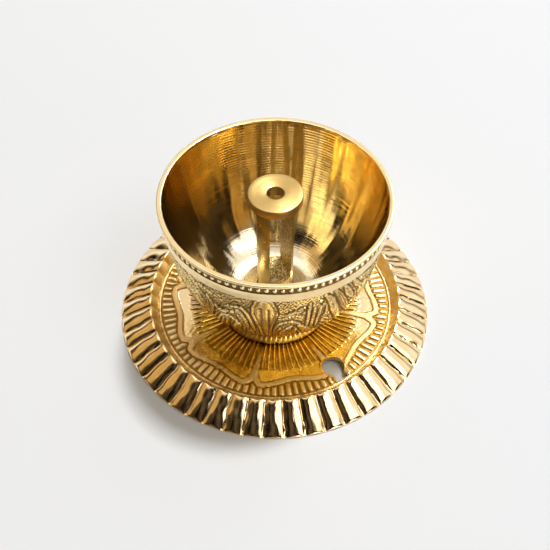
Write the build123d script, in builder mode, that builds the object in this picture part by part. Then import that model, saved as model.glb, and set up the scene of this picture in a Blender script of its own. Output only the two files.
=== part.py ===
from build123d import *
import os
from math import cos, radians, sin

# A brass oil lamp: a bowl with a slotted wick post stands on a fluted plate.
# Millimetres. Z = 0 is the surface that the lamp stands on, and Z runs up the plate's axis.
# +Y points away from the front of the lamp, and +X to its right.

# Plate
plate_radius = 55.6
plate_edge_height = 0.8
plate_shoulder_radius = 51.2
plate_shoulder_height = 3.4
crest_radius = 44.9
crest_height = 6.6
dish_radius = 42.0
floor_height = 2.6
plate_wall = 1.6
crest_wall = 2.1
underside_inset = 0.8
foot_ring_width = 1.0

# Flutes of the plate's rim
flute_count = 50
flute_groove_width = 1.1
flute_groove_depth = 0.5

# Raised pattern on the plate's floor
relief_height = 0.45
relief_root = 0.3
wall_line_width = 0.8
wall_line_root = 0.4
short_rib_count = 100
short_rib_width = 1.1
short_rib_length = 3.3
short_rib_gap = 0.5
long_rib_count = 88
long_rib_width = 0.8
long_rib_end_radius = 31.0
foot_gap = 0.3
petal_count = 8
petal_start_angle = -12.0
petal_lobe_radius = 37.3
petal_dip_radius = 35.3
petal_neck_radius = 33.6
petal_band_width = 1.6
petal_vein_width = 0.9
petal_lobe_share = 0.14

# Keyhole through the plate's floor
keyhole_angle = -55.0
keyhole_distance = 35.2
keyhole_radius = 3.9
keyhole_slot_width = 4.8
keyhole_slot_reach = 41.2
keyhole_pad_width = 1.0

# Hub of the plate, inside the bowl's foot
hub_radius = 12.4
hub_height = 4.2
hub_slope = 2.6

# Bowl
bowl_radius = 38.0
bowl_height = 56.6
rim_land = 1.7
rim_lip_height = 0.9
bead_band_height = 2.6
bead_band_depth = 0.9
bead_count = 96
bead_radius = 0.7
plain_band_height = 4.4
plain_band_radius = 37.4
plain_band_taper = 0.45
relief_recess = 0.35
bowl_shoulder_radius = 33.9
bowl_shoulder_height = 33.0
bowl_belly_radius = 28.3
bowl_belly_height = 19.8
bowl_waist_radius = 22.4
bowl_waist_height = 12.0
foot_radius = 18.4
foot_wall = 2.3
foot_hollow_slope = 2.0
bowl_wall = 2.4
bowl_belly_wall = 3.2
bowl_floor_height = 11.5
bowl_floor_thickness = 3.0
bowl_floor_radius = 10.0
boss_radius = 7.5
foot_lean = 0.1
shoulder_lean = 0.2
rim_inside_lean = 0.12

# Wick post
post_radius = 6.3
post_foot_radius = 5.2
post_foot_height = 4.6
post_foot_middle_radius = 5.9
post_foot_middle_height = 1.85
post_height = 45.4
slot_angle = -68.0
slot_width = 7.9
slot_floor = 7.9
cap_radius = 8.9
cap_height = 2.4
cap_cone_height = 1.2
cap_chamfer = 0.2
wick_hole_radius = 2.85

# Fixing screw and washers
screw_radius = 3.0
screw_length = 14.0
screw_head_radius = 5.5
screw_head_height = 2.8
screw_slot_width = 1.4
screw_slot_depth = 1.3
washer_thickness = 0.8
washer_radius = 6.2
seal_thickness = 0.8
seal_radius = 6.6
thread_clearance = 0.05
hole_clearance = 0.25
thread_spare = 0.8

# How far a cut runs past the faces that it cuts
cut_overrun = 0.1
cut_headroom = 1.0

# Places that follow from the sizes above
hub_top = floor_height + hub_height
hub_foot_radius = hub_radius + hub_slope
rib_start_radius = foot_radius + foot_gap
lip_bottom = bowl_height - rim_lip_height
bead_band_bottom = lip_bottom - bead_band_height
plain_band_bottom = bead_band_bottom - plain_band_height
relief_top_radius = plain_band_radius - plain_band_taper - relief_recess
post_bottom = bowl_floor_height + seal_thickness
post_top = post_bottom + post_height
cap_bottom = post_top - cap_height - cap_cone_height
washer_top = hub_top - plate_wall
washer_bottom = washer_top - washer_thickness
screw_top = washer_bottom + screw_length
screw_hole_radius = screw_radius + hole_clearance


def polar(radius, angle):
    """The point at a radius and an angle in degrees."""
    return (radius * cos(radians(angle)), radius * sin(radians(angle)))


def petal_outline(inset):
    """Points of the scalloped band: for each petal a neck, a lobe, a dip and a lobe."""
    turns = (
        (0.0, petal_neck_radius),
        (petal_lobe_share, petal_lobe_radius),
        (0.5, petal_dip_radius),
        (1 - petal_lobe_share, petal_lobe_radius),
    )
    return [
        polar(radius - inset, petal_start_angle + (petal + share) * 360 / petal_count)
        for petal in range(petal_count)
        for share, radius in turns
    ]


# Cutter for one groove between two flutes, drawn in the X-Z plane over the rim's slope
with BuildPart() as flute_cutter:
    with BuildSketch(Plane.XZ):
        with BuildLine():
            groove = ThreePointArc(
                (plate_radius + cut_overrun, plate_edge_height - flute_groove_depth),
                (plate_shoulder_radius, plate_shoulder_height - flute_groove_depth),
                (crest_radius, crest_height - flute_groove_depth),
            )
            inner_wall = Line(
                groove @ 1,
                (dish_radius - flute_groove_depth, floor_height + relief_height),
            )
            Polyline(
                inner_wall @ 1,
                (dish_radius - flute_groove_depth, crest_height + cut_headroom),
                (plate_radius + cut_overrun, crest_height + cut_headroom),
                groove @ 0,
            )
        make_face()
    extrude(amount=flute_groove_width / 2, both=True)

# Plate: fluted rim, ribbed dish with a raised line round it, scalloped band, keyhole and hub
with BuildPart() as base_plate:
    with BuildSketch(Plane.XZ):
        with BuildLine():
            rim_slope = ThreePointArc(
                (plate_radius, plate_edge_height),
                (plate_shoulder_radius, plate_shoulder_height),
                (crest_radius, crest_height),
            )
            Polyline(
                rim_slope @ 1,
                (dish_radius, floor_height),
                (hub_foot_radius, floor_height),
                (hub_radius, hub_top),
                (0, hub_top),
                (0, washer_top),
                (hub_radius - underside_inset, washer_top),
                (hub_foot_radius - underside_inset, floor_height - plate_wall),
                (dish_radius - underside_inset, floor_height - plate_wall),
                (crest_radius, crest_height - crest_wall),
            )
            Polyline(
                (crest_radius, crest_height - crest_wall),
                (plate_shoulder_radius, plate_shoulder_height - plate_wall),
                (plate_radius - foot_ring_width, 0),
                (plate_radius, 0),
                (plate_radius, plate_edge_height),
            )
        make_face()
    revolve(axis=Axis.Z)
    with PolarLocations(0, flute_count):
        add(flute_cutter.part, mode=Mode.SUBTRACT)
    with BuildSketch(Plane.XY.offset(floor_height - relief_root)):
        Circle(dish_radius + wall_line_root)
        Circle(dish_radius - wall_line_width, mode=Mode.SUBTRACT)
        with PolarLocations(dish_radius - short_rib_gap - short_rib_length / 2, short_rib_count):
            Rectangle(short_rib_length, short_rib_width)
        with PolarLocations((rib_start_radius + long_rib_end_radius) / 2, long_rib_count):
            Rectangle(long_rib_end_radius - rib_start_radius, long_rib_width)
        with PolarLocations((rib_start_radius + petal_neck_radius) / 2, petal_count, petal_start_angle):
            Rectangle(petal_neck_radius - rib_start_radius, petal_vein_width)
    extrude(amount=relief_root + relief_height)
    with BuildSketch(Plane.XY.offset(floor_height - relief_root)):
        with BuildLine():
            Spline(*petal_outline(0), periodic=True)
        make_face()
        with BuildLine():
            Spline(*petal_outline(petal_band_width), periodic=True)
        make_face(mode=Mode.SUBTRACT)
    extrude(amount=relief_root + relief_height)
    with BuildSketch(Plane.XY.rotated((0, 0, keyhole_angle)).offset(floor_height)):
        with Locations((keyhole_distance, 0)):
            Circle(keyhole_radius + keyhole_pad_width)
    extrude(amount=relief_height)
    with BuildSketch(Plane.XY.rotated((0, 0, keyhole_angle))):
        with Locations((keyhole_distance, 0)):
            Circle(keyhole_radius)
        with Locations(((keyhole_distance + keyhole_slot_reach) / 2, 0)):
            Rectangle(keyhole_slot_reach - keyhole_distance, keyhole_slot_width)
    extrude(amount=floor_height + relief_height + cut_headroom, mode=Mode.SUBTRACT)
    with BuildSketch():
        Circle(screw_hole_radius)
    extrude(amount=crest_height + hub_top, mode=Mode.SUBTRACT)
base_plate.part.label = "base_plate"

# Bowl: turned inside, with a beaded band, a plain band and a foot that is hollow underneath
with BuildPart() as oil_bowl:
    with BuildSketch(Plane.XZ):
        with BuildLine():
            outside = Spline(
                (foot_radius, floor_height),
                (bowl_waist_radius, bowl_waist_height),
                (bowl_belly_radius, bowl_belly_height),
                (bowl_shoulder_radius, bowl_shoulder_height),
                (relief_top_radius, plain_band_bottom),
                tangents=((foot_lean, 1), (shoulder_lean, 1)),
            )
            Polyline(
                outside @ 1,
                (plain_band_radius - plain_band_taper, plain_band_bottom),
                (plain_band_radius, bead_band_bottom),
                (plain_band_radius - bead_band_depth, bead_band_bottom),
                (plain_band_radius - bead_band_depth, lip_bottom),
                (bowl_radius, lip_bottom),
                (bowl_radius, bowl_height),
                (bowl_radius - rim_land, bowl_height),
            )
            inside = Spline(
                (bowl_radius - rim_land, bowl_height),
                (bowl_shoulder_radius - bowl_wall, bowl_shoulder_height),
                (bowl_belly_radius - bowl_belly_wall, bowl_belly_height),
                (bowl_floor_radius, bowl_floor_height),
                tangents=((-rim_inside_lean, -1), (-1, 0)),
            )
            Polyline(
                inside @ 1,
                (0, bowl_floor_height),
                (0, hub_top),
                (boss_radius, hub_top),
                (boss_radius, bowl_floor_height - bowl_floor_thickness),
                (foot_radius - foot_wall - foot_hollow_slope, bowl_floor_height - bowl_floor_thickness),
                (foot_radius - foot_wall, floor_height),
                outside @ 0,
            )
        make_face()
    revolve(axis=Axis.Z)
    with BuildSketch(Plane.XY.offset(bead_band_bottom)):
        with PolarLocations(plain_band_radius - bead_radius, bead_count):
            Circle(bead_radius)
    extrude(amount=bead_band_height)
    with BuildSketch():
        Circle(screw_hole_radius)
    extrude(amount=bowl_height, mode=Mode.SUBTRACT)
oil_bowl.part.label = "oil_bowl"

# Wick post: a turned post with a slot through it, a drilled cap and a tapped foot
with BuildPart() as wick_post:
    with BuildSketch(Plane.XZ):
        with BuildLine():
            side = Line((post_radius, cap_bottom), (post_radius, post_bottom + post_foot_height))
            foot = ThreePointArc(
                side @ 1,
                (post_foot_middle_radius, post_bottom + post_foot_middle_height),
                (post_foot_radius, post_bottom),
            )
            Polyline(
                foot @ 1,
                (0, post_bottom),
                (0, post_top),
                (cap_radius, post_top),
                (cap_radius, cap_bottom + cap_cone_height),
                side @ 0,
            )
        make_face()
    revolve(axis=Axis.Z)
    chamfer(wick_post.edges().filter_by(GeomType.CIRCLE).group_by(Axis.Z)[-1], cap_chamfer)
    with BuildSketch(Plane.XY.rotated((0, 0, slot_angle)).offset(post_bottom + slot_floor)):
        Rectangle(4 * post_radius, slot_width)
    extrude(amount=cap_bottom - post_bottom - slot_floor, mode=Mode.SUBTRACT)
    with BuildSketch(Plane.XY.offset(cap_bottom)):
        Circle(wick_hole_radius)
    extrude(amount=post_top - cap_bottom, mode=Mode.SUBTRACT)
    with BuildSketch(Plane.XY.offset(post_bottom)):
        Circle(screw_radius + thread_clearance)
    extrude(amount=screw_top - post_bottom + thread_spare, mode=Mode.SUBTRACT)
wick_post.part.label = "wick_post"

# Soft washer between the post's foot and the bowl's floor
with BuildPart() as seal_washer:
    with BuildSketch(Plane.XY.offset(bowl_floor_height)):
        Circle(seal_radius)
        Circle(screw_hole_radius, mode=Mode.SUBTRACT)
    extrude(amount=seal_thickness)
seal_washer.part.label = "seal_washer"

# Metal washer under the plate's hub
with BuildPart() as screw_washer:
    with BuildSketch(Plane.XY.offset(washer_bottom)):
        Circle(washer_radius)
        Circle(screw_hole_radius, mode=Mode.SUBTRACT)
    extrude(amount=washer_thickness)
screw_washer.part.label = "screw_washer"

# Slotted screw from below, through plate and bowl into the post's foot
with BuildPart() as fixing_screw:
    with BuildSketch(Plane.XY.offset(washer_bottom)):
        Circle(screw_head_radius)
    extrude(amount=-screw_head_height)
    with BuildSketch(Plane.XY.offset(washer_bottom)):
        Circle(screw_radius)
    extrude(amount=screw_length)
    with BuildSketch(Plane.XY.offset(washer_bottom - screw_head_height)):
        Rectangle(2 * screw_head_radius + cut_headroom, screw_slot_width)
    extrude(amount=screw_slot_depth, mode=Mode.SUBTRACT)
fixing_screw.part.label = "fixing_screw"

os.makedirs("parts", exist_ok=True)
for piece in (base_plate, oil_bowl, wick_post, seal_washer, screw_washer, fixing_screw):
    export_step(piece.part, f"parts/{piece.part.label}.step")
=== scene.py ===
from math import cos, pi, radians, sin

import bmesh
import bpy
import numpy as np
from mathutils import Matrix, Vector


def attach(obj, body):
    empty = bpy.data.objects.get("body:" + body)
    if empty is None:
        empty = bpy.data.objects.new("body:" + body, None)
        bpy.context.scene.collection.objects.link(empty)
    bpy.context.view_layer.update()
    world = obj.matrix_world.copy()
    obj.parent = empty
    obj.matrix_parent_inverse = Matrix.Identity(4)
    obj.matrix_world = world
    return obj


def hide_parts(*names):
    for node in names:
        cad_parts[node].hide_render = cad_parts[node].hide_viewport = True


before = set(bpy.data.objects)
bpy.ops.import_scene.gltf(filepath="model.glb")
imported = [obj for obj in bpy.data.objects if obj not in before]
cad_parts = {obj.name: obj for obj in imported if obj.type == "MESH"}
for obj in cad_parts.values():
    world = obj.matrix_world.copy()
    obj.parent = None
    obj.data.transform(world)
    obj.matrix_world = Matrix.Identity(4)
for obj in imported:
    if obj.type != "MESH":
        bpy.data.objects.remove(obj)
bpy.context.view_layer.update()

# A brass oil lamp: a beaded bowl with a slotted wick post stands on a fluted plate.
# Shapes are worked out in millimetres and made in metres. Angles are in degrees from +X; the front is at -90.
MM = 0.001

# Plate
plate_steps = 1000
plate_coarse_steps = 250
plate_radius = 55.6
plate_edge_height = 0.8
floor_height = 2.6
flute_count = 50
flute_middle_radius = 50.0
flute_depth = 0.85
crease_depth = 0.18
crease_width = 0.3
relief_height = 0.45
pattern_rows = [(18.6, 31.0, 0.62), (31.0, 41.0, 0.3), (41.0, 42.15, 0.19)]
pattern_end_radius = 42.2
wall_line_radius = 41.7
wall_line_half_width = 0.5
wall_line_height = 0.34
short_rib_count = 100
short_rib_half_width = 0.8
short_rib_height = 0.46
long_rib_count = 88
long_rib_height = 0.48
long_rib_start = 19.5
long_rib_end = 31.0
petal_count = 8
petal_start_angle = -12.0
petal_lobe_radius = 37.7
petal_dip_radius = 35.5
petal_lobe_share = 0.22
petal_notch_share = 0.09
petal_notch_depth = 1.9
petal_band_width = 1.7
petal_band_height = 0.34
petal_neck_radii = (21.0, 28.0, 34.0, 36.0)
petal_neck_half_widths = (0.45, 0.75, 1.15, 1.5)
petal_corner = 2.4
petal_vein_start = 21.0
# Painted shade: the dish's colour is darkened at the front left, where the bowl's shadow falls, with its
# middle angle and reach in degrees
painted_shadow_angle = -118.0
painted_shadow_reach = 30.0
keyhole_angle = -55.0
keyhole_distance = 35.2
keyhole_radius = 3.9
keyhole_slot_width = 4.8
keyhole_slot_reach = 41.2
keyhole_pad_width = 0.9
keyhole_pad_height = 0.3
keyhole_slot_corner = 0.5
hub_top = 6.8
hub_radius = 12.4
hub_foot_radius = 15.0
rib_ground_radius = 18.2
hub_underside = 5.2
plate_underside = 1.0
screw_hole_radius = 3.25

# Bowl
bowl_steps = 768
bowl_bead_steps = 1536
bowl_coarse_steps = 192
bowl_radius = 38.0
bowl_height = 56.6
bead_count = 96
bead_band_bottom = 52.4
lip_bottom = 55.7
bead_band_radius = 37.0
bead_half_width = 0.8
bead_half_height = 0.95
bead_rise = 0.72
plain_band_bottom = 48.7
wall_top_radius = 36.6
wall_points = [(22.4, 12.0), (28.3, 19.8), (33.9, 33.0)]
inside_points = [(36.3, 56.35), (31.5, 33.0), (25.1, 19.8)]
inside_floor_radius = 10.0
foot_radius = 18.4
foot_top = 6.2
foot_pleats = 72
boss_radius = 7.5
hollow_top = 8.5
hollow_top_radius = 14.1
hollow_mouth_radius = 16.1
bowl_floor_height = 11.5
punch_pitch_up = 1.05
punch_pitch_turn = 1.8
stem_spread = 0.045
stem_pitch = 2.7
punch_radius = 0.36
leaf_low = -0.12
leaf_rise = 0.52
leaf_outline = 0.5
leaf_turns = 4
tulip_middle = -5.2

# Wick post
post_steps = 96
post_radius = 6.3
post_foot_radius = 5.2
post_bottom = 12.3
post_foot_height = 4.6
post_top = 57.7
cap_radius = 8.9
cap_height = 3.1
cap_cone_height = 0.55
slot_angle = -68.0
slot_width = 7.9
slot_floor_height = 20.2
slot_top_height = 54.1
wick_hole_radius = 2.85
thread_radius = 3.05
thread_top = 19.2

# Finishes. The scales are features for each metre
patch_scale = 170.0
speck_scale = 900.0
grain_scale = 2100.0
pit_scale = 1500.0
wobble_scale = 130.0
dot_scale = 1700.0
scratch_rows = 1100.0
scratch_breaks = 28.0
streak_rows = 85.0
streak_breaks = 1.4
groove_pitch = 1.2
groove_heights = (24.0, 42.0)
stipple_tint = (1.0, 0.98, 0.86)
stipple_roughness = 0.6
gold = (1.0, 0.82, 0.47)
deep_gold = (0.92, 0.66, 0.26)
paper_white = (0.875, 0.9, 0.93)

# Room behind the object, and the distances in metres over which the floor turns into it
room_colour = (1.0, 0.99, 0.98)
room_shade = (1.0, 0.74, 0.48)
room_strength = 0.88
room_share_on_paper = 0.22
floor_reach = 3.0
floor_fade = (0.35, 1.1)

# Camera, fitted to the photograph's circles, in metres and radians
camera_target = Vector((0.0000056, 0.0135947, 0.0008))
camera_distance = 0.33649
camera_elevation = 0.87389
camera_roll = 0.00693
picture_width = 550
focal_pixels = 894.689
sensor_width = 36

# Places of the materials on each piece
plate_rim, plate_pattern, plate_under, plate_cut, plate_wall = range(5)
bowl_inside, bowl_chased, bowl_band, bowl_under, bowl_beads, bowl_foot = range(6)
post_side, post_face, post_cast = range(3)

noise_size = 64
noise_table = np.random.default_rng(11).random((noise_size, noise_size))


def ease(t):
    """From 0 to 1 with no corner at either end."""
    t = np.clip(t, 0.0, 1.0)
    return t * t * (3 - 2 * t)


def noise(x, y):
    """Smooth noise between 0 and 1, which repeats after noise_size units both ways."""
    x, y = np.broadcast_arrays(np.asarray(x, float), np.asarray(y, float))
    column, row = np.floor(x).astype(int), np.floor(y).astype(int)
    across, up = ease(x - column), ease(y - row)
    left, right = column % noise_size, (column + 1) % noise_size
    below, above = row % noise_size, (row + 1) % noise_size
    low = noise_table[below, left] * (1 - across) + noise_table[below, right] * across
    high = noise_table[above, left] * (1 - across) + noise_table[above, right] * across
    return low * (1 - up) + high * up


def spline(points, start, end, count):
    """Points on a smooth curve through the given ones, with the start and end directions given."""
    p = np.array(points, float)
    step = np.hypot(*np.diff(p, axis=0).T)
    place = np.concatenate(([0.0], np.cumsum(step)))
    rows = np.zeros((len(p), len(p)))
    right = np.zeros((len(p), 2))
    rows[0, 0] = 1
    rows[-1, -1] = 1
    right[0] = np.array(start) / np.hypot(*start)
    right[-1] = np.array(end) / np.hypot(*end)
    for i in range(1, len(p) - 1):
        before, after = step[i - 1], step[i]
        rows[i, i - 1 : i + 2] = (after, 2 * (before + after), before)
        right[i] = 3 * (before * (p[i + 1] - p[i]) / after + after * (p[i] - p[i - 1]) / before)
    slope = np.linalg.solve(rows, right)
    at = np.linspace(0, place[-1], count)
    i = np.clip(np.searchsorted(place, at, side="right") - 1, 0, len(p) - 2)
    h = step[i][:, None]
    t = ((at - place[i]) / step[i])[:, None]
    return (
        (2 * t**3 - 3 * t**2 + 1) * p[i]
        + (t**3 - 2 * t**2 + t) * h * slope[i]
        + (3 * t**2 - 2 * t**3) * p[i + 1]
        + (t**3 - t**2) * h * slope[i + 1]
    )


def ring(radius, height, steps):
    """Points of one ring; radius and height are numbers or one value per step."""
    angle = np.arange(steps) * 2 * pi / steps
    height = np.broadcast_to(height, angle.shape)
    return np.stack([radius * np.cos(angle), radius * np.sin(angle), height], 1)


def ring_mesh(name, rings, closed, surface):
    """A mesh through rings of points. A ring may have a whole multiple of its neighbour's points.
    closed joins the last ring to the first; otherwise both ends are capped.
    surface gives a material index for each gap."""
    starts = np.concatenate(([0], np.cumsum([len(r) for r in rings])))
    faces = []
    kinds = []
    count = len(rings) if closed else len(rings) - 1
    for i in range(count):
        a, b = starts[i], starts[(i + 1) % len(rings)]
        n, m = len(rings[i]), len(rings[(i + 1) % len(rings)])
        few = min(n, m)
        p, q = n // few, m // few
        j = np.arange(few)
        first = [a + (j * p + k) % n for k in range(p + 1)]
        second = [b + (j * q + k) % m for k in range(q, -1, -1)]
        faces += np.stack(first + second, 1).tolist()
        kinds += [surface[i]] * few
    if not closed:
        faces.append(list(range(starts[0], starts[0] + len(rings[0]))))
        faces.append(list(range(starts[-2], starts[-1])))
        kinds += [surface[0], surface[-1]]
    mesh = bpy.data.meshes.new(name)
    mesh.from_pydata((np.concatenate(rings) * MM).tolist(), [], faces)
    mesh.polygons.foreach_set("material_index", kinds)
    made = bmesh.new()
    made.from_mesh(mesh)
    bmesh.ops.recalc_face_normals(made, faces=made.faces)
    made.to_mesh(mesh)
    made.free()
    return mesh


def solid(name, mesh, materials):
    """An object with that mesh and those materials."""
    for material in materials:
        mesh.materials.append(material)
    made = bpy.data.objects.new(name, mesh)
    bpy.context.scene.collection.objects.link(made)
    return made


def cut(body, cutter):
    """Takes the cutter out of the body, and removes the cutter."""
    change = body.modifiers.new("cut", "BOOLEAN")
    change.operation = "DIFFERENCE"
    change.solver = "EXACT"
    change.object = cutter
    bpy.context.view_layer.update()
    graph = bpy.context.evaluated_depsgraph_get()
    mesh = bpy.data.meshes.new_from_object(body.evaluated_get(graph), depsgraph=graph)
    body.modifiers.clear()
    body.data = mesh
    bpy.data.objects.remove(cutter)


def smooth(body, angle):
    """Smooth shading, apart from edges sharper than the angle."""
    body.data.shade_smooth()
    body.data.set_sharp_from_angle(angle=radians(angle))


def mark(body, name, value):
    """A number for each vertex, which the materials read by its name."""
    layer = body.data.attributes.new(name, "FLOAT", "POINT")
    layer.data.foreach_set("value", np.asarray(value, np.float32))


def places(body):
    """Radius, angle and height of each vertex, in millimetres and degrees."""
    at = np.zeros(len(body.data.vertices) * 3)
    body.data.vertices.foreach_get("co", at)
    at = at.reshape(-1, 3) / MM
    return np.hypot(at[:, 0], at[:, 1]), np.degrees(np.arctan2(at[:, 1], at[:, 0])), at[:, 2]


def from_middle(angle, count):
    """Distance from the nearest of count equal turns, as a share of half a turn, and that turn's number."""
    turn = angle * count / 360
    number = np.round(turn)
    return np.abs(turn - number) * 2, number % count


def petal_edge(angle):
    """Radius of the scalloped band's outer edge."""
    share, _ = from_middle(angle - petal_start_angle, petal_count)
    fall = ease((share - petal_lobe_share) / (1 - petal_lobe_share))
    notch = np.exp(-((share / petal_notch_share) ** 2))
    wander = 0.3 * (noise(angle * 0.07 + 5, 2.5) - 0.5)
    dip = (petal_lobe_radius - petal_dip_radius) * fall
    return petal_lobe_radius - dip - petal_notch_depth * notch + wander


def petal_distance(radius, angle):
    """Distance inwards from the scalloped edge, negative outside it."""
    at = np.arange(0, 360, 0.5)
    edge = petal_edge(at)
    x, y = edge * np.cos(np.radians(at)), edge * np.sin(np.radians(at))
    px, py = radius * np.cos(np.radians(angle)), radius * np.sin(np.radians(angle))
    near = np.full(radius.shape, 99.0)
    for cx, cy in zip(x, y):
        np.minimum(near, (px - cx) ** 2 + (py - cy) ** 2, out=near)
    near = np.sqrt(near)
    return np.where(radius < petal_edge(angle), near, -near)


def keyhole_gap(radius, angle):
    """Distance outwards from the keyhole's edge, negative inside it."""
    turn = np.radians(angle - keyhole_angle)
    x, y = radius * np.cos(turn), radius * np.sin(turn)
    round_part = np.hypot(x - keyhole_distance, y) - keyhole_radius
    past = np.maximum(np.maximum(keyhole_distance - x, x - keyhole_slot_reach), 0)
    aside = np.maximum(np.abs(y) - keyhole_slot_width / 2, 0)
    slot = np.hypot(past, aside)
    return np.minimum(round_part, slot)


def floor_relief(radius, angle):
    """Height of the dish's raised pattern above its floor, how bright its colour is, with the raised parts
    and petals worn bright and painted shade of the bowl's shadow at the front left, and how much stippled.
    """
    inwards = petal_distance(radius, angle)
    share, number = from_middle(angle, short_rib_count)
    across = share * pi * radius / short_rib_count
    width = short_rib_half_width * (0.88 + 0.24 * noise(number, 3.5))
    side = np.clip(1 - (across / width) ** 2, 0, 1) ** 0.5
    length = ease((-inwards - 0.2) / 0.7) * ease((41.0 - radius) / 0.5)
    short = short_rib_height * side * length
    side = np.clip(1 - ((radius - wall_line_radius) / wall_line_half_width) ** 2, 0, 1) ** 0.5
    line = wall_line_height * side
    share, _ = from_middle(angle - petal_start_angle, petal_count)
    across = share * pi * radius / petal_count
    neck_width = np.interp(radius, petal_neck_radii, petal_neck_half_widths)
    from_band = inwards - petal_band_width
    from_neck = across - neck_width
    soft = np.clip(0.5 + 0.5 * (from_neck - from_band) / petal_corner, 0, 1)
    cell = from_neck * (1 - soft) + from_band * soft - petal_corner * soft * (1 - soft)
    fade = np.where(radius < 33, ease((radius - petal_vein_start) / 7), 1.0)
    band = ease((inwards + 0.15) / 0.35) * ease((0.3 - cell) / 0.4) * fade
    crown = 0.12 * np.clip(1 - ((inwards - 0.5 * petal_band_width) / petal_band_width) ** 2, 0, 1)
    ridge = 0.2 * np.clip(1 - (across / (neck_width + 0.2)) ** 2, 0, 1) * fade * ease((inwards - 1.2) / 1.0)
    share, number = from_middle(angle, long_rib_count)
    across = share * pi * radius / long_rib_count
    width = 0.32 + 0.013 * (radius - 18) + 0.12 * noise(number, 8.5)
    end = long_rib_end + 1.8 * (noise(number * 1.7, 12.5) - 0.4)
    taper = ease((end - radius) / 4.0)
    side = np.clip(1 - (across / (width * (0.7 + 0.3 * taper))) ** 2, 0, 1) ** 0.8
    length = ease((radius - long_rib_start) / 0.6) * ease((end - radius) / 1.4)
    long = long_rib_height * side * length * ease(cell / 0.5)
    height = np.maximum.reduce([short, line, (petal_band_height + crown + ridge) * band, long])
    gap = keyhole_gap(radius, angle)
    pad = ease((keyhole_pad_width - gap) / 0.35)
    height = height * (1 - pad) + keyhole_pad_height * pad
    height = height + 0.05 * (noise(angle * 0.6, radius * 0.9) - 0.5)
    wear = 0.8 + 0.4 * noise(angle * 0.35, radius * 0.4)
    petal = ease((cell - 0.1) / 0.5) * (1 - np.clip(long / 0.2, 0, 1)) * ease((radius - 29.5) / 2)
    ground = 0.5 * ease((radius - 22) / 8) * ease(cell / 0.6)
    raised = height / relief_height * wear
    bright = np.clip(np.maximum.reduce([raised, 1.4 * petal, ground, 1.15 * band * (1 - pad)]), 0, 1.4)
    # Painted shade: the bowl's shadow on the front left of the dish, painted into the colour
    from_dark = (angle - painted_shadow_angle + 180) % 360 - 180
    painted_shadow = 0.55 * np.exp(-((from_dark / painted_shadow_reach) ** 2)) * ease((39 - radius) / 5)
    satin = np.maximum(band, 0.42 * ease((-inwards - 0.2) / 0.7) * ease((42.4 - radius) / 0.4))
    return height, bright * (1 - painted_shadow), np.clip(satin * (1 - pad), 0, 1)


def flute_drop(angle, radius, depth, crease):
    """How far the fluted rim falls below its lobes' tops."""
    wander = 0.7 * (noise(angle * noise_size / 360, radius * 0.3) - 0.5)
    share, number = from_middle(angle + wander - 180 / flute_count, flute_count)
    across = (1 - share) * pi * flute_middle_radius / flute_count
    lobe = depth * share**2.15 * (0.85 + 0.3 * noise(number, 6.5))
    return lobe + crease * np.exp(-((across / crease_width) ** 2))


def plate_mesh():
    """The plate's rings from the hub's hole outwards on top, round the edge and back underneath."""
    fine, coarse = plate_steps, plate_coarse_steps
    angle = np.arange(fine) * 360 / fine
    rings = [
        ring(screw_hole_radius, hub_top, coarse),
        ring(hub_radius, hub_top, coarse),
        ring(hub_foot_radius, floor_height, coarse),
        ring(rib_ground_radius, floor_height, coarse),
    ]
    surface = [plate_pattern] * 4
    for radius in np.concatenate([np.arange(*rows) for rows in pattern_rows]):
        height = floor_relief(np.full(fine, radius), angle)[0]
        rings.append(ring(radius, floor_height + height, fine))
        surface.append(plate_pattern)
    wall = [(42.35, 3.05), (42.7, 3.6), (43.1, 4.25), (43.5, 4.95), (43.9, 5.6), (44.2, 6.1), (44.42, 6.42)]
    for i, (radius, height) in enumerate(wall):
        share = (i + 1) / len(wall)
        drop = flute_drop(angle, radius, 0.22 + 0.3 * share, 0.1 * share)
        rings.append(ring(radius + 0.8 * drop, height - 0.55 * drop, fine))
        surface.append(plate_wall)
    slope = spline(
        [(44.75, 6.58), (47.9, 5.08), (51.2, 3.42), (53.9, 1.85), (plate_radius - 0.05, plate_edge_height)],
        (1, -0.28),
        (1, -0.62),
        17,
    )
    for radius, height in slope:
        out = ease(1 - (radius - 53.4) / 2.2)
        crest = ease((radius - 44.2) / 1.3)
        depth = flute_depth * (0.75 + 0.25 * out) * (0.65 + 0.35 * crest)
        drop = flute_drop(angle, radius, depth, crease_depth * out)
        rings.append(ring(radius, height - drop, fine))
        surface.append(plate_rim)
    drop = flute_drop(angle, plate_radius, flute_depth * 0.75, 0)
    rings.append(ring(plate_radius, plate_edge_height - 0.1 - drop * 0.8, fine))
    rings.append(ring(plate_radius, 0.08, fine))
    rings.append(ring(plate_radius - 0.08, 0.0, fine))
    surface += [plate_rim, plate_rim, plate_under]
    under = [
        (55.2, 0.0), (54.7, 0.02), (54.0, 0.3), (52.8, 0.95), (51.2, 1.8), (49.0, 2.6), (47.0, 3.45),
        (45.6, 4.2), (44.9, 4.45), (44.2, 4.1), (43.2, 3.2), (42.2, 2.15), (41.4, 1.15),
    ]
    under += [(radius, plate_underside) for radius in (40.9, 38.0, 34.0, 30.0, 26.0, 22.0, 18.0, 14.8)]
    under += [(14.2, 1.1), (11.9, 5.0)]
    under += [(radius, hub_underside) for radius in (11.5, 7.0, screw_hole_radius)]
    for radius, height in under:
        rings.append(ring(radius, height, coarse))
        surface.append(plate_under)
    return ring_mesh("base_plate_form", rings, True, surface)


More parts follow.
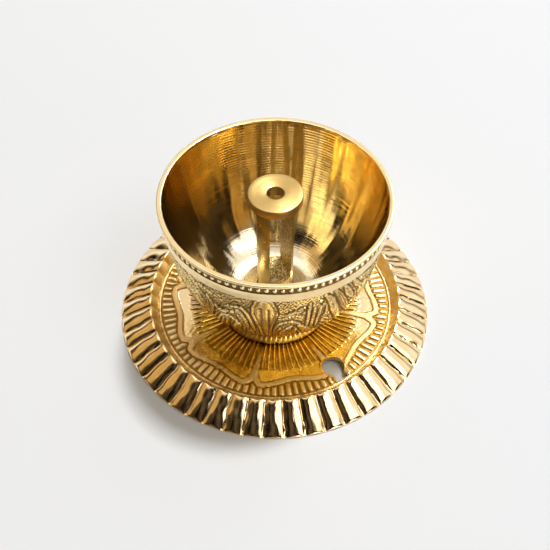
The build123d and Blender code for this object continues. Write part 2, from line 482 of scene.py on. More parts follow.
def keyhole_cutter():
    """A prism with the keyhole's outline."""
    outline = []
    reach = keyhole_slot_width / 2
    corner = keyhole_slot_corner
    start = np.degrees(np.arcsin(reach / keyhole_radius))
    for turn in np.linspace(start, 360 - start, 72):
        t = radians(turn)
        outline.append((keyhole_distance + keyhole_radius * cos(t), keyhole_radius * sin(t)))
    for turn in np.linspace(-90, 90, 24):
        t = radians(turn)
        x = keyhole_slot_reach - corner + corner * cos(t)
        y = (reach - corner) * np.sign(sin(t) + 1e-9) + corner * sin(t)
        outline.append((x, y))
    a = radians(keyhole_angle)
    points = [(x * cos(a) - y * sin(a), x * sin(a) + y * cos(a)) for x, y in outline]
    rings = [np.array([(x, y, z) for x, y in points]) for z in (-2.0, 8.0)]
    return ring_mesh("keyhole_form", rings, False, [plate_cut])


# Chased leaves on the bowl's wall. Each has a kind, a spine of points (angle from the front, height), and a
# half width in millimetres.
leaves = [
    ("plain", [(-13.5, 30.0), (-15.5, 20.0), (-20.0, 9.0)], 1.5),
    ("plain", [(-20.0, 31.0), (-24.5, 21.0), (-31.0, 10.0)], 1.9),
    ("ribbed", [(-27.0, 34.0), (-31.0, 27.0), (-37.5, 18.0), (-44.0, 8.0)], 2.6),
    ("ribbed", [(-38.8, 29.0), (-37.6, 35.0), (-36.6, 41.0)], 2.3),
    ("plain", [(-42.6, 33.0), (-45.5, 37.0), (-48.5, 42.0)], 2.3),
    ("feather", [(-33.0, 43.8), (-38.0, 45.2), (-43.0, 44.6)], 1.0),
    ("ribbed", [(-32.6, 37.4), (-28.5, 36.4), (-24.6, 36.9)], 1.0),
    ("knob", [(-22.6, 37.2), (-22.4, 37.4)], 0.9),
    ("feather", [(-29.5, 33.0), (-25.0, 33.6), (-20.6, 31.4)], 1.1),
    ("ridge", [(-20.6, 41.2), (-17.5, 42.3), (-14.6, 39.0), (-12.6, 33.5), (-11.4, 27.0)], 0.7),
    ("feather", [(-19.4, 39.6), (-17.6, 35.0), (-15.2, 27.5)], 1.5),
    ("plain", [(-24.6, 40.6), (-23.0, 41.4), (-21.4, 40.8)], 0.6),
    ("ridge", [(-1.4, 20.0), (-0.6, 29.0), (2.5, 34.2), (8.0, 35.2), (12.6, 33.6), (15.6, 28.5)], 0.65),
    ("feather", [(3.8, 21.0), (5.0, 26.5), (9.4, 31.6)], 1.6),
    ("plain", [(7.8, 22.0), (10.2, 26.6), (13.2, 30.0)], 0.9),
    ("plain", [(13.6, 31.0), (18.0, 26.0), (24.0, 18.5), (31.0, 9.0)], 1.9),
    ("comb", [(4.6, 37.1), (10.0, 37.9), (15.6, 36.8)], 0.85),
    ("plain", [(5.6, 39.4), (9.0, 40.4), (12.4, 41.6)], 0.85),
    ("ridge", [(12.0, 41.2), (15.0, 43.2), (16.0, 40.4), (14.4, 38.8)], 0.42),
    ("rope", [(18.0, 30.0), (17.6, 37.0), (17.8, 44.6)], 0.75),
    ("rope", [(20.8, 27.5), (20.4, 34.0), (20.8, 40.6)], 0.75),
    ("rope", [(23.8, 27.0), (23.2, 33.0), (24.2, 39.4)], 0.7),
    ("ridge", [(21.4, 43.8), (24.4, 44.6), (26.2, 42.8), (24.6, 41.0), (22.8, 41.8)], 0.42),
    ("rope", [(26.6, 31.0), (28.0, 36.0), (27.6, 40.0)], 0.6),
    ("feather", [(25.6, 46.6), (29.4, 42.6), (32.6, 36.0), (38.0, 28.0), (46.0, 18.0)], 1.6),
    ("ribbed", [(31.0, 47.0), (36.0, 40.6), (42.0, 32.0), (50.0, 23.0)], 1.5),
    ("feather", [(37.0, 46.6), (40.6, 41.4), (45.6, 35.6)], 1.4),
    ("feather", [(42.6, 46.8), (46.0, 43.0), (51.0, 39.0)], 1.2),
    ("tulip", [(-5.2, 22.0), (-5.2, 34.0), (-5.2, 45.8)], 4.3),
]


def leaf_shape(kind, points, width, angle, height, radius):
    """One leaf's height over the wall's grid in millimetres, and how far inside its outline each point is."""
    p = np.array(points, float)
    t = np.linspace(0, 1, 49)
    knots = np.linspace(0, 1, len(p))
    spine_angle = np.interp(t, knots, p[:, 0])
    spine_height = np.interp(t, knots, p[:, 1])
    for _ in range(12):
        spine_angle[1:-1] = (spine_angle[:-2] + 2 * spine_angle[1:-1] + spine_angle[2:]) / 4
        spine_height[1:-1] = (spine_height[:-2] + 2 * spine_height[1:-1] + spine_height[2:]) / 4
    scale = np.radians(1) * radius
    step_angle = np.gradient(spine_angle)
    step_height = np.gradient(spine_height)
    length = np.hypot(np.diff(spine_angle) * 0.6, np.diff(spine_height)).sum()
    best = np.full(angle.shape, 1e9)
    along = np.zeros(angle.shape)
    side = np.zeros(angle.shape)
    for i in range(len(t)):
        dx = (angle - spine_angle[i]) * scale
        dy = height - spine_height[i]
        far = dx * dx + dy * dy
        near = far < best
        best = np.where(near, far, best)
        along = np.where(near, t[i], along)
        side = np.where(near, np.sign(dx * step_height[i] - dy * step_angle[i] * scale), side)
    away = np.sqrt(best)
    if kind == "tulip":
        half = width * np.interp(along, [0, 0.3, 0.55, 0.75, 0.9, 1.0], [0.4, 0.5, 0.78, 1.0, 0.95, 0.75])
    elif kind in ("ridge", "rope", "comb"):
        half = width * np.interp(along, [0, 0.15, 0.85, 1.0], [0.7, 1.0, 1.0, 0.7])
    elif kind == "knob":
        half = np.full(angle.shape, width)
    else:
        half = width * np.interp(along, [0, 0.2, 0.55, 0.85, 1.0], [0.5, 0.8, 1.0, 0.75, 0.3])
    share = away / half
    past = away - half
    inside = ease((leaf_outline - past) / 0.2)
    outline = np.exp(-(((past - 0.12) / 0.2) ** 2))
    edge = np.exp(-((past + 0.38) / 0.22) ** 2)
    crown = np.clip(1 - share**2, 0, 1) ** 0.5
    signed = side * share
    body = ease(-past / 0.3)
    if kind == "tulip":
        left = (angle - tulip_middle + 1.9) * scale
        right = (angle - tulip_middle - 2.1) * scale
        barbs = np.sin((height + np.abs(left) * 0.9) * 2 * pi / 1.15)
        groove = np.exp(-((left / 0.5) ** 2)) * (0.7 + 0.3 * barbs) * ease((44.0 - height) / 1.0)
        groove += 0.8 * np.exp(-((right / 0.3) ** 2)) * ease((43.6 - height) / 1.0) * ease((height - 28) / 3)
        second = np.exp(-(((past + 1.05) / 0.2) ** 2))
        shape = 0.62 + 0.38 * edge - 0.3 * second - 0.8 * groove * ease((0.85 - share) / 0.3)
    elif kind == "feather":
        barbs = np.cos((along * length / 1.2 + np.abs(signed) * 0.8) * 2 * pi)
        vein = np.exp(-((share / 0.13) ** 2))
        shape = 0.45 + 0.4 * crown + 0.3 * barbs * ease((0.95 - share) / 0.3) - 0.4 * vein
    elif kind == "ribbed":
        shape = 0.5 + 0.3 * crown + 0.4 * np.cos(signed * 3.0 * pi) * ease((1.0 - share) / 0.2)
    elif kind == "rope":
        twist = np.cos((along * length / 1.25 + signed * 0.35) * 2 * pi)
        shape = 0.4 + 0.4 * crown + 0.32 * twist
    elif kind == "comb":
        shape = 0.5 + 0.5 * np.cos(along * length / 1.0 * 2 * pi)
    elif kind == "plain":
        vein = np.exp(-((share / 0.1) ** 2)) * ease((0.9 - along) / 0.2)
        shape = 0.3 + 0.8 * crown - 0.35 * vein - 0.1 * np.cos(signed * 5 * pi) * ease((0.9 - share) / 0.3)
    else:
        shape = 0.2 + 0.8 * crown
    return leaf_low + leaf_rise * shape * body - 0.2 * outline * (1 - body), inside


def punches(angle, height, radius):
    """Small dents in the ground, scattered in staggered rows."""
    row = height / punch_pitch_up
    least = np.full(angle.shape, 9.0)
    for up in (-1, 0, 1):
        line = np.floor(row) + up
        offset = 0.5 * np.mod(line, 2)
        column = angle / punch_pitch_turn - offset
        i = line.astype(int)
        for aside in (-1, 0, 1):
            place = np.floor(column) + aside
            j = place.astype(int)
            jitter_x = 0.5 * (noise_table[i % noise_size, j % noise_size] - 0.5)
            jitter_y = 0.5 * (noise_table[j % noise_size, (i + 7) % noise_size] - 0.5)
            dx = (column - place - 0.5 - jitter_x) * punch_pitch_turn * np.radians(1) * radius
            dy = (row - line - 0.5 - jitter_y) * punch_pitch_up
            least = np.minimum(least, dx * dx + dy * dy)
    return np.exp(-least / punch_radius**2)


def wall_relief(radius, height):
    """Chasing on the bowl's wall, one row for each ring: height in or out in millimetres, and how bright its
    colour is, darker with patina in the hollows and with painted highlight growing towards the foot.
    It is worked out for one of the equal repeats of the leaves."""
    turn = 360 / leaf_turns
    columns = bowl_steps // leaf_turns
    angle = np.arange(columns) * turn / columns
    here, height = np.meshgrid(angle - turn * np.round(angle / turn), height)
    radius = np.repeat(radius[:, None], columns, axis=1)
    ground = -0.06 - 0.34 * punches(here, height, radius) + 0.1 * (noise(here * 1.3, height * 1.1) - 0.5)
    # Long stems which fall away from the tulip on both sides
    from_tulip = np.abs(here - tulip_middle - turn * np.round((here - tulip_middle) / turn))
    spread = from_tulip / (1 + stem_spread * (33 - height))
    share = np.abs(2 * (spread / stem_pitch - np.floor(spread / stem_pitch)) - 1)
    weight = 0.75 + 0.5 * noise(np.floor(spread / stem_pitch) * 1.7, 4.5)
    stem = -0.26 + 0.5 * weight * (1 - share**2.6)
    low = ease((31.0 - height + 4 * (noise(here * 0.4, 7.5) - 0.5)) / 2.0)
    relief = ground * (1 - low) + stem * low
    for kind, points, width in leaves:
        for shift in (-turn, 0, turn):
            shape, inside = leaf_shape(kind, points, width, here - shift, height, radius)
            relief = relief * (1 - inside) + inside * shape
    foot = ease((7.2 - height) / 1.6)
    knobs = 0.18 * np.cos(np.radians(here) * foot_pleats)
    relief = relief * (1 - foot) + knobs * foot
    relief = relief * ease((plain_band_bottom - 0.2 - height) / 0.5)
    aside = sum(np.roll(relief, k, axis=1) for k in (-3, -2, 2, 3)) / 4
    above = (np.roll(relief, 2, axis=0) + np.roll(relief, -2, axis=0)) / 2
    bright = np.clip(0.72 + (relief - 0.5 * aside - 0.5 * above) / 0.2 + 0.5 * relief, 0, 1)
    # Painted highlight: the colour is made brighter towards the foot, standing in for light reflected there
    bright = np.maximum(bright + 0.5 * ease((22 - height) / 10), 1.4 * ease((8.5 - height) / 2))
    # The leaves' angles count from the front, and a ring's points start at +X
    shift = bowl_steps * 3 // 4
    return tuple(np.roll(np.tile(grid, (1, leaf_turns)), shift, axis=1) for grid in (relief, bright))


def bowl_mesh():
    """The bowl's rings from its boss out under the foot, up the outside, over the rim and down the inside."""
    fine, coarse = bowl_steps, bowl_coarse_steps
    rings = [
        ring(screw_hole_radius, hub_top, coarse),
        ring(boss_radius, hub_top, coarse),
        ring(boss_radius, hollow_top, coarse),
        ring(hollow_top_radius, hollow_top, coarse),
        ring(hollow_mouth_radius, floor_height, coarse),
        ring(foot_radius - 0.25, floor_height, coarse),
    ]
    surface = [bowl_under] * 6
    gap_start = sum(len(r) for r in rings)
    pleats = np.cos(foot_pleats * np.arange(fine) * 2 * pi / fine)
    # The foot's flange, as radius, height, depth of pleats and surface. Its first two rings are a gap under
    # it, painted dark as shade
    foot = [
        (19.25, floor_height, 0, bowl_chased), (19.35, 3.12, 0, bowl_chased), (19.9, 3.2, 0.05, bowl_foot),
        (20.0, 3.55, 0.06, bowl_foot), (19.75, 4.2, 0.07, bowl_foot), (19.4, 4.95, 0.07, bowl_foot),
    ]
    for radius, height, depth, kind in foot:
        rings.append(ring(radius + depth * pleats, height, fine))
        surface.append(kind)
    wall = [(foot_radius, floor_height), *wall_points, (wall_top_radius, plain_band_bottom)]
    wall = spline(wall, (0.1, 1), (0.2, 1), 400)
    lean = np.gradient(wall, axis=0)
    lean /= np.hypot(lean[:, 0], lean[:, 1])[:, None]
    heights = np.concatenate([np.linspace(5.6, 29.5, 29), np.linspace(29.5, plain_band_bottom, 52)[1:]])
    radii = np.interp(heights, wall[:, 1], wall[:, 0])
    first = sum(len(r) for r in rings)
    relief, wear_and_painted_light = wall_relief(radii, heights)
    for radius, height, out in zip(radii, heights, relief):
        dr, dz = (np.interp(height, wall[:, 1], lean[:, i]) for i in (0, 1))
        rings.append(ring(radius + out * dz, height - out * dr, fine))
        surface.append(bowl_chased if height > foot_top else bowl_foot)
    band = [
        (36.75, plain_band_bottom), (37.05, plain_band_bottom + 0.1), (37.2, 50.8),
        (37.34, bead_band_bottom - 0.25), (37.26, bead_band_bottom - 0.05),
    ]
    for radius, height in band:
        rings.append(ring(radius, height, fine))
        surface.append(bowl_band)
    bead_angle = np.arange(bowl_bead_steps) * 360 / bowl_bead_steps
    share, _ = from_middle(bead_angle, bead_count)
    across = share * pi * bead_band_radius / bead_count
    for height in np.linspace(bead_band_bottom + 0.02, lip_bottom - 0.02, 10):
        up = (height - (bead_band_bottom + lip_bottom) / 2) / bead_half_height
        bead = bead_rise * np.sqrt(np.clip(1 - (across / bead_half_width) ** 2 - up**2, 0, 1))
        rings.append(ring(bead_band_radius + bead, height, bowl_bead_steps))
        surface.append(bowl_beads)
    surface[-1] = bowl_band
    lip = [(37.88, lip_bottom), (bowl_radius, lip_bottom + 0.14), (bowl_radius, 56.38), (37.9, 56.55)]
    for radius, height in lip:
        rings.append(ring(radius, height, fine))
        surface.append(bowl_band)
    for radius, height in [(37.7, bowl_height), (36.55, bowl_height), (36.36, 56.5)]:
        rings.append(ring(radius, height, coarse))
        surface.append(bowl_band)
    surface[-1] = bowl_inside
    inside = [*inside_points, (inside_floor_radius, bowl_floor_height)]
    around = np.arange(coarse) * noise_size / coarse
    for radius, height in spline(inside, (-0.12, -1), (-1, 0), 32):
        uneven = 0.26 * (noise(around, height * 0.03) - 0.5)
        uneven = uneven + 0.14 * (noise(2 * around, height * 0.06 + 9) - 0.5)
        rings.append(ring(radius + uneven * ease((radius - 12) / 8), height, coarse))
        surface.append(bowl_inside)
    for radius in (8.0, 5.5, screw_hole_radius):
        rings.append(ring(radius, bowl_floor_height, coarse))
        surface.append(bowl_inside)
    surface[-1] = bowl_under
    bright = np.ones(sum(len(r) for r in rings))
    # Painted shade: the gap under the foot's flange takes the darkest colour
    bright[gap_start : gap_start + 2 * fine] = -0.5
    bright[first : first + wear_and_painted_light.size] = wear_and_painted_light.ravel()
    return ring_mesh("oil_bowl_form", rings, True, surface), bright


def post_mesh():
    """The wick post's rings from its tapped hole, up the outside and down the wick hole, with no slot yet."""
    steps = post_steps
    cone = post_top - cap_height
    outside = [
        (thread_radius, thread_top), (thread_radius, post_bottom + 0.3), (thread_radius + 0.3, post_bottom),
        (post_foot_radius - 0.15, post_bottom), (post_foot_radius, post_bottom + 0.15),
        (5.55, post_bottom + 0.9), (5.9, post_bottom + 1.85), (6.12, post_bottom + 3.0),
        (6.25, post_bottom + 3.9), (post_radius, post_bottom + post_foot_height),
    ]
    outside += [(post_radius, height) for height in np.linspace(18.5, cone - cap_cone_height - 0.15, 24)]
    outside += [
        (post_radius + 0.12, cone - cap_cone_height), (cap_radius - 0.15, cone - 0.08),
        (cap_radius, cone + 0.1), (cap_radius, post_top - 0.22), (cap_radius - 0.07, post_top - 0.07),
        (cap_radius - 0.22, post_top), (7.2, post_top), (5.4, post_top), (wick_hole_radius + 0.35, post_top),
        (wick_hole_radius + 0.08, post_top - 0.1), (wick_hole_radius, post_top - 0.4),
        (wick_hole_radius, 55.5), (wick_hole_radius, slot_top_height - 1.5),
    ]
    rings = [ring(radius, height, steps) for radius, height in outside]
    surface = []
    for radius, height in outside[:-1]:
        if radius <= wick_hole_radius + 0.09 or (radius <= thread_radius and height < 20):
            surface.append(post_cast)
        elif height > cone:
            surface.append(post_face)
        else:
            surface.append(post_side)
    return ring_mesh("wick_post_form", rings, False, surface)


def slot_cutter():
    """A box through the post whose faces are as rough as a casting."""
    made = bmesh.new()
    across = np.linspace(-1, 1, 25)
    along = np.linspace(-1, 1, 41)
    upward = np.linspace(0, 1, 101)
    half_width, half_length = slot_width / 2, post_radius + 1.5
    tall = slot_top_height - slot_floor_height

    def rough(u, v):
        """How far a cast face stands out at one point."""
        return 0.24 * (noise(u * 1.3, v * 1.3) - 0.5) + 0.14 * (noise(u * 3.7 + 9, v * 3.7 + 4) - 0.5)

    known = {}

    def corner(i, j, k):
        """One corner of the box's grid, made when it is first asked for."""
        key = (i, j, k)
        if key not in known:
            x, y = along[i] * half_length, across[j] * half_width
            z = slot_floor_height + upward[k] * tall
            if j in (0, len(across) - 1):
                y += rough(x + 20 + 7 * j, z)
            if k == 0:
                z += rough(x + 3, y + 11)
            a = radians(slot_angle)
            turned = (x * cos(a) - y * sin(a), x * sin(a) + y * cos(a), z)
            known[key] = made.verts.new([value * MM for value in turned])
        return known[key]

    def side(first, second, fixed):
        """One side of the box, from the corners that fixed gives."""
        for p in range(first - 1):
            for q in range(second - 1):
                made.faces.new([fixed(p, q), fixed(p + 1, q), fixed(p + 1, q + 1), fixed(p, q + 1)])

    a_last, c_last, u_last = len(along) - 1, len(across) - 1, len(upward) - 1
    for j in (0, c_last):
        side(len(along), len(upward), lambda p, q: corner(p, j, q))
    for k in (0, u_last):
        side(len(along), len(across), lambda p, q: corner(p, q, k))
    for i in (0, a_last):
        side(len(across), len(upward), lambda p, q: corner(i, p, q))
    bmesh.ops.recalc_face_normals(made, faces=made.faces)
    mesh = bpy.data.meshes.new("slot_form")
    made.to_mesh(mesh)
    made.free()
    return mesh


def feed(tree, socket, value):
    """Gives an input its value, or links it where the value is another node's output."""
    if isinstance(value, bpy.types.NodeSocket):
        tree.links.new(value, socket)
    elif socket.type == "RGBA":
        socket.default_value = (*value, 1)
    else:
        socket.default_value = value


def add(tree, kind, settings=None, **inputs):
    """A new node with those settings and inputs."""
    made = tree.nodes.new("ShaderNode" + kind)
    for name, value in (settings or {}).items():
        setattr(made, name, value)
    for name, value in inputs.items():
        feed(tree, made.inputs[name.replace("_", " ")], value)
    return made


def calculate(tree, operation, *values):
    """The result of one Math node."""
    made = add(tree, "Math", {"operation": operation})
    for socket, value in zip(made.inputs, values):
        feed(tree, socket, value)
    return made.outputs[0]


def mix(tree, kind, share, low, high, blend="MIX"):
    """A mix of two colours (kind RGBA) or two numbers (FLOAT), which is low where share is 0."""
    made = add(tree, "Mix", {"data_type": kind, "blend_type": blend})
    first, result = (6, 2) if kind == "RGBA" else (2, 0)
    for place, value in ((0, share), (first, low), (first + 1, high)):
        feed(tree, made.inputs[place], value)
    return made.outputs[result]


def between(tree, value, low, high, start=0.0, end=1.0):
    """Takes a value from its range (start, end) to another one (low, high)."""
    made = add(
        tree, "MapRange", {"interpolation_type": "SMOOTHSTEP"},
        Value=value, From_Min=start, From_Max=end, To_Min=low, To_Max=high,
    )
    return made.outputs["Result"]


def finish(
    name, clean, dull, rough, wear_and_painted_light=None, turning=0.0, grooves=0.0, brushing=0.0, streaks=0.0, wobble=0.0,
    pits=0.0, stipple=0.0, metallic=1.0, grainy=False, bounce_tint=None, lean=0.0,
):
    """A procedural material. clean and dull are its colours, and rough its roughness where clean and dull.
    wear_and_painted_light is the attribute that tells them apart, without which they are cloudy, or fine
    grained where grainy. Where it is set, its low values give patina in hollows and, on some pieces, painted
    shade, and its high values give wear and, on some pieces, painted highlight.
    bounce_tint is a colour of painted light, standing in for light bounced between brass surfaces, with the
    two distances, radius and height added up, between which it takes over, and lean is how much that sum
    grows towards the back. brushing is how much turning stretches the highlights.
    The rest are depths of marks in millimetres. Where the attribute stipple says so, the surface has dots,
    and is rougher and tinted."""
    material = bpy.data.materials.new(name)
    material.use_nodes = True
    tree = material.node_tree
    shader = tree.nodes["Principled BSDF"]
    shader.inputs["Metallic"].default_value = metallic
    if brushing:
        shader.inputs["Anisotropic"].default_value = brushing
        shader.inputs["Anisotropic Rotation"].default_value = 0.25
        grain_way = add(tree, "Tangent", {"direction_type": "RADIAL", "axis": "Z"})
        tree.links.new(grain_way.outputs["Tangent"], shader.inputs["Tangent"])
    place = add(tree, "TexCoord").outputs["Object"]

    def clouds(scale, detail, roughness=0.5):
        """Noise with features of about one over scale metres."""
        made = add(tree, "TexNoise", Vector=place, Scale=scale, Detail=detail, Roughness=roughness)
        return made.outputs["Fac"]

    def attribute(wanted):
        """A number that the mesh has at each vertex."""
        return add(tree, "Attribute", {"attribute_name": wanted}).outputs["Fac"]

    patches = clouds(patch_scale, 6.0, 0.65)
    # The attribute holds wear and patina, and on some pieces also painted shade and painted highlight
    if wear_and_painted_light:
        specks = between(tree, clouds(speck_scale, 3.0), -0.15, 0.15, 0.3, 0.7)
        rubbed = calculate(tree, "ADD", attribute(wear_and_painted_light), specks)
        rubbed = calculate(tree, "ADD", rubbed, between(tree, patches, -0.28, 0.08, 0.35, 0.6))
        share = between(tree, rubbed, 0.0, 1.0)
    elif grainy:
        share = between(tree, clouds(grain_scale, 3.0), 0.0, 1.0, 0.38, 0.62)
    else:
        share = between(tree, patches, 0.0, 1.0, 0.3, 0.7)
    colour = mix(tree, "RGBA", share, dull, clean)
    roughness = between(tree, share, rough[1], rough[0])
    apart = add(tree, "SeparateXYZ", Vector=place)
    flat = add(tree, "CombineXYZ", X=apart.outputs["X"], Y=apart.outputs["Y"]).outputs["Vector"]
    reach = add(tree, "VectorMath", {"operation": "LENGTH"}, Vector=flat).outputs["Value"]
    total = calculate(tree, "ADD", reach, apart.outputs["Z"])
    dotted = attribute("stipple") if stipple else None
    # Painted light: a deeper, more saturated gold, standing in for light bounced between the brass surfaces
    if bounce_tint:
        tint, low, high = bounce_tint
        leant = calculate(tree, "MULTIPLY_ADD", apart.outputs["Y"], lean, total)
        cover = between(tree, leant, 0.0, 1.0, low * MM, high * MM)
        if stipple:
            cover = calculate(tree, "MULTIPLY", cover, between(tree, dotted, 1.0, 0.5))
        colour = mix(tree, "RGBA", cover, colour, tint, "MULTIPLY")
    if stipple:
        colour = mix(tree, "RGBA", dotted, colour, stipple_tint, "MULTIPLY")
        roughness = mix(tree, "FLOAT", dotted, roughness, stipple_roughness)
    feed(tree, shader.inputs["Base Color"], colour)
    feed(tree, shader.inputs["Roughness"], roughness)

    marks = []
    if turning:
        arcs = add(tree, "VectorMath", {"operation": "SCALE"}, Vector=flat, Scale=scratch_breaks)
        rows = calculate(tree, "MULTIPLY", total, scratch_rows)
        scratches = add(
            tree, "TexNoise", {"noise_dimensions": "4D"},
            Vector=arcs.outputs["Vector"], W=rows, Scale=1.0, Detail=3.0,
        )
        marks.append((scratches.outputs["Fac"], turning, 1.0))
    if grooves:
        turns = calculate(tree, "MULTIPLY", total, 2 * pi / (groove_pitch * MM))
        bottom, top = groove_heights
        upper = between(tree, apart.outputs["Z"], 0.15, 1.0, bottom * MM, top * MM)
        marks.append((calculate(tree, "SINE", turns), grooves, upper))
    if streaks:
        outward = add(tree, "VectorMath", {"operation": "NORMALIZE"}, Vector=flat)
        along = calculate(tree, "MULTIPLY", reach, streak_breaks)
        lines = add(
            tree, "TexNoise", {"noise_dimensions": "4D"},
            Vector=outward.outputs["Vector"], W=along, Scale=streak_rows, Detail=3.0,
        )
        marks.append((lines.outputs["Fac"], streaks, 1.0))
    if wobble:
        marks.append((clouds(wobble_scale, 3.0), wobble, 1.0))
    if pits:
        marks.append((clouds(pit_scale, 4.0, 0.6), pits, 1.0))
    if stipple:
        dots = add(tree, "TexVoronoi", Vector=place, Scale=dot_scale).outputs["Distance"]
        marks.append((dots, stipple, dotted))
    normal = None
    for height, depth, strength in marks:
        pressed = add(tree, "Bump", Height=height, Distance=depth * MM, Strength=strength)
        if normal:
            tree.links.new(normal, pressed.inputs["Normal"])
        normal = pressed.outputs["Normal"]
    tree.links.new(normal, shader.inputs["Normal"])
    return material


polished = finish(
    "brass_polished", (0.97, 0.78, 0.49), (0.93, 0.68, 0.34), (0.08, 0.14), streaks=0.04, wobble=0.03,
    pits=0.004,
)
# Dish pattern. Its deeper gold towards the middle and the front is painted light, standing in for light
# reflected from the bowl onto the dish
pattern = finish(
    "brass_pattern", (0.93, 0.69, 0.37), (0.30, 0.16, 0.03), (0.16, 0.32), "bright", streaks=0.02,
    wobble=0.04, pits=0.008, stipple=0.12, bounce_tint=((1.0, 0.86, 0.26), 33.5, 25), lean=0.35,
)
dish_wall = finish("brass_dish_wall", (0.90, 0.74, 0.36), (0.78, 0.60, 0.24), (0.28, 0.4), pits=0.004)
underside = finish("brass_underside", (0.62, 0.43, 0.2), (0.36, 0.24, 0.1), (0.3, 0.5), pits=0.05)
edge = finish("brass_edge", deep_gold, (0.7, 0.48, 0.2), (0.18, 0.3), pits=0.02)
# Inside of the bowl. Its deeper gold high up is painted light, standing in for light bounced round the bowl
inside_brass = finish(
    "brass_turned", (0.98, 0.83, 0.54), (0.72, 0.60, 0.42), (0.07, 0.15), turning=0.06, grooves=0.014,
    brushing=0.3, wobble=0.09, bounce_tint=((0.95, 0.85, 0.52), 44, 66),
)
chased = finish("brass_chased", (0.96, 0.72, 0.31), (0.20, 0.12, 0.03), (0.2, 0.4), "bright", pits=0.015)
# Painted highlight: the foot is a brighter gold with no dark hollows, standing in for light reflected onto it
foot_brass = finish("brass_foot", (0.94, 0.68, 0.20), (0.74, 0.47, 0.10), (0.26, 0.38), pits=0.01)
banded = finish("brass_bands", gold, (0.92, 0.68, 0.34), (0.12, 0.2), turning=0.006, pits=0.006)
beaded = finish("brass_beads", gold, (0.17, 0.10, 0.03), (0.1, 0.4), "bright", pits=0.01)
turned = finish(
    "brass_post", (0.50, 0.37, 0.12), (0.30, 0.21, 0.06), (0.26, 0.38), turning=0.03, brushing=0.5,
    pits=0.01,
)
faced = finish(
    "brass_faced", (0.62, 0.42, 0.16), (0.52, 0.35, 0.12), (0.34, 0.42), turning=0.08, brushing=0.6,
    pits=0.02,
)
cast = finish(
    "brass_cast", (0.86, 0.68, 0.34), (0.26, 0.18, 0.06), (0.28, 0.5), wobble=0.12, pits=0.3, grainy=True,
)
fibre = finish("seal_fibre", (0.25, 0.08, 0.05), (0.16, 0.05, 0.03), (0.75, 0.9), pits=0.05, metallic=0.0)
steel = finish("washer_steel", (0.62, 0.62, 0.62), (0.45, 0.45, 0.45), (0.3, 0.45), turning=0.02, pits=0.02)
screw = finish("screw_brass", deep_gold, (0.6, 0.42, 0.2), (0.22, 0.35), turning=0.02, pits=0.02)

plate = solid("base_plate_dressed", plate_mesh(), [polished, pattern, underside, edge, dish_wall])
cut(plate, solid("keyhole_cutter", keyhole_cutter(), []))
smooth(plate, 50)
radius, angle, height = places(plate)
_, bright, stipple = floor_relief(radius, angle)
# The colour share holds the painted shadow of the bowl on the dish
mark(plate, "bright", np.where(radius < pattern_end_radius, bright, 1.0))
mark(plate, "stipple", np.where(radius < pattern_end_radius, stipple, 0.0))
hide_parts("base_plate")
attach(plate, "lamp")

bowl_form, bright = bowl_mesh()
bowl = solid("oil_bowl_dressed", bowl_form, [inside_brass, chased, banded, edge, beaded, foot_brass])
smooth(bowl, 50)
radius, angle, height = places(bowl)
in_beads = (height > bead_band_bottom) & (height < lip_bottom)
on_bead = np.clip((radius - bead_band_radius - 0.3) / 0.25, 0, 1)
# The colour share holds patina, wear on the beads' tops, painted highlight towards the foot and painted shade
# under the flange
mark(bowl, "bright", np.where(in_beads, on_bead, bright))
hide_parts("oil_bowl")
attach(bowl, "lamp")

post = solid("wick_post_dressed", post_mesh(), [turned, faced, cast])
cut(post, solid("slot_cutter", slot_cutter(), [cast]))
smooth(post, 40)
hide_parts("wick_post")
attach(post, "post")

for node, material in (("seal_washer", fibre), ("screw_washer", steel), ("fixing_screw", screw)):
    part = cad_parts[node]
    part.data.materials.clear()
    part.data.materials.append(material)

# Floor, which fills the camera's view. Too far off for the lamps, it is as pale as the room behind it
floor_mesh = bpy.data.meshes.new("floor")
floor_corners = [(x * floor_reach, y * floor_reach, 0) for x, y in ((-1, -1), (1, -1), (1, 1), (-1, 1))]
floor_mesh.from_pydata(floor_corners, [], [(0, 1, 2, 3)])
paper = bpy.data.materials.new("paper")
paper.use_nodes = True
sheet = paper.node_tree
sheet_shader = sheet.nodes["Principled BSDF"]
feed(sheet, sheet_shader.inputs["Base Color"], paper_white)
feed(sheet, sheet_shader.inputs["Roughness"], 0.9)
place = add(sheet, "TexCoord").outputs["Object"]
away = add(sheet, "VectorMath", {"operation": "LENGTH"}, Vector=place).outputs["Value"]
seen = add(sheet, "LightPath")
shown = calculate(sheet, "MAXIMUM", seen.outputs["Is Camera Ray"], seen.outputs["Is Glossy Ray"])
shown = calculate(sheet, "MAXIMUM", shown, seen.outputs["Is Transmission Ray"])
faded = calculate(sheet, "MULTIPLY", shown, between(sheet, away, 0.0, 1.0, *floor_fade))
pale = add(sheet, "Emission", Color=room_colour, Strength=room_strength)
blend = add(sheet, "MixShader", Fac=faded)
sheet.links.new(sheet_shader.outputs[0], blend.inputs[1])
sheet.links.new(pale.outputs[0], blend.inputs[2])
sheet.links.new(blend.outputs[0], sheet.nodes["Material Output"].inputs["Surface"])
floor = solid("floor", floor_mesh, [paper])
floor.location.z = -0.00002


def lamp(name, place, size, power, colour=(1, 1, 1)):
    """A soft square light that shines on the object."""
    light = bpy.data.lights.new(name, "AREA")
    light.shape = "SQUARE"
    light.size = size
    light.energy = power
    light.color = colour
    made = bpy.data.objects.new(name, light)
    made.location = place
    made.rotation_mode = "QUATERNION"
    made.rotation_quaternion = (-Vector(place)).to_track_quat("-Z", "Y")
    bpy.context.scene.collection.objects.link(made)


lamp("key_light", (0.549, 0.784, 2.201), 0.30, 38.5)
lamp("right_light", (1.192, -0.688, 1.966), 1.3, 11.0)
lamp("left_light", (-1.595, 0.581, 1.697), 1.9, 7.0, (1.0, 0.69, 0.30))

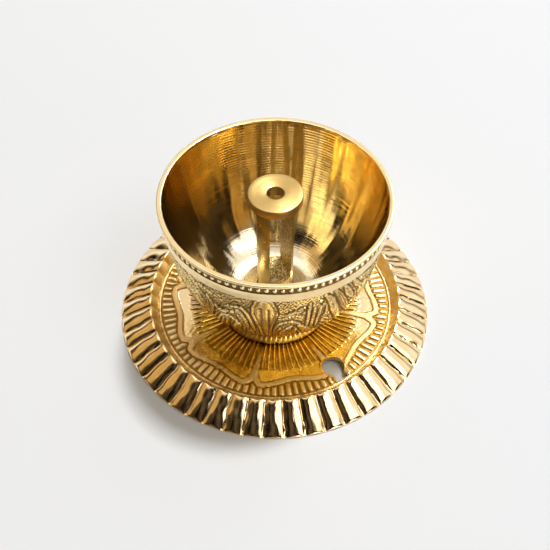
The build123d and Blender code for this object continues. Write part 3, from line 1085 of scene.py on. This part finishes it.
# Studio: a pale sweep all round near the floor, pale walls and a small window at the back and right, a pale
# patch low at the front right and one overhead, and darkness over the rest of the front
world = bpy.data.worlds.new("studio")
world.use_nodes = True
room = world.node_tree
toward = add(room, "TexCoord").outputs["Generated"]


def facing(azimuth, elevation):
    """How nearly a direction is the given one, as the cosine of the angle between them."""
    a, e = radians(azimuth), radians(elevation)
    made = add(room, "VectorMath", {"operation": "DOT_PRODUCT"}, Vector=toward)
    made.inputs[1].default_value = (cos(e) * cos(a), cos(e) * sin(a), sin(e))
    return made.outputs["Value"]


def pale_patch(azimuth, elevation, reach, level):
    """A soft round patch of the room, with its middle and reach in degrees."""
    inner = cos(radians(reach * 0.65))
    return between(room, facing(azimuth, elevation), 0.0, level, cos(radians(reach)), inner)


upward = add(room, "SeparateXYZ", Vector=toward).outputs["Z"]
near_floor = between(room, upward, 1.0, 0.0, 0.1, 0.3)
sweep = calculate(room, "MULTIPLY", near_floor, between(room, facing(-128, 0), 1.0, 0.25, 0.3, 0.9))
haze = add(room, "TexNoise", Vector=toward, Scale=2.6, Detail=2.0).outputs["Fac"]
level = pale_patch(87, 50, 38, 0.92)
for part in (
    pale_patch(26, 45, 34, 1.05),
    pale_patch(-57, 6, 30, 3.0),
    pale_patch(62, 44, 9, 9),
    pale_patch(150, 80, 26, 0.9),
    sweep,
    between(room, haze, 0.005, 0.14, 0.42, 0.68),
):
    level = calculate(room, "ADD", level, part)
# The metal mirrors the room fully, and the paper takes less of its light, so that it keeps the lamp's shadow
path = add(room, "LightPath")
share = between(room, path.outputs["Is Glossy Ray"], room_share_on_paper, 1.0)
strength = calculate(room, "MULTIPLY", level, share)
strength = mix(room, "FLOAT", path.outputs["Is Camera Ray"], strength, room_strength)
paleness = calculate(room, "MAXIMUM", level, path.outputs["Is Camera Ray"])
background = room.nodes["Background"]
feed(room, background.inputs["Color"], mix(room, "RGBA", paleness, room_shade, room_colour))
feed(room, background.inputs["Strength"], strength)
bpy.context.scene.world = world

lens = bpy.data.cameras.new("camera")
lens.sensor_width = sensor_width
lens.lens = focal_pixels / picture_width * sensor_width
lens.clip_start = 0.01
camera = bpy.data.objects.new("camera", lens)
back = Vector((0, -cos(camera_elevation), sin(camera_elevation)))
camera.location = camera_target + camera_distance * back
turn = Matrix.Rotation(pi / 2 - camera_elevation, 4, "X") @ Matrix.Rotation(camera_roll, 4, "Z")
camera.rotation_mode = "QUATERNION"
camera.rotation_quaternion = turn.to_quaternion()
bpy.context.scene.collection.objects.link(camera)
bpy.context.scene.camera = camera

bpy.context.scene.view_settings.view_transform = "Standard"
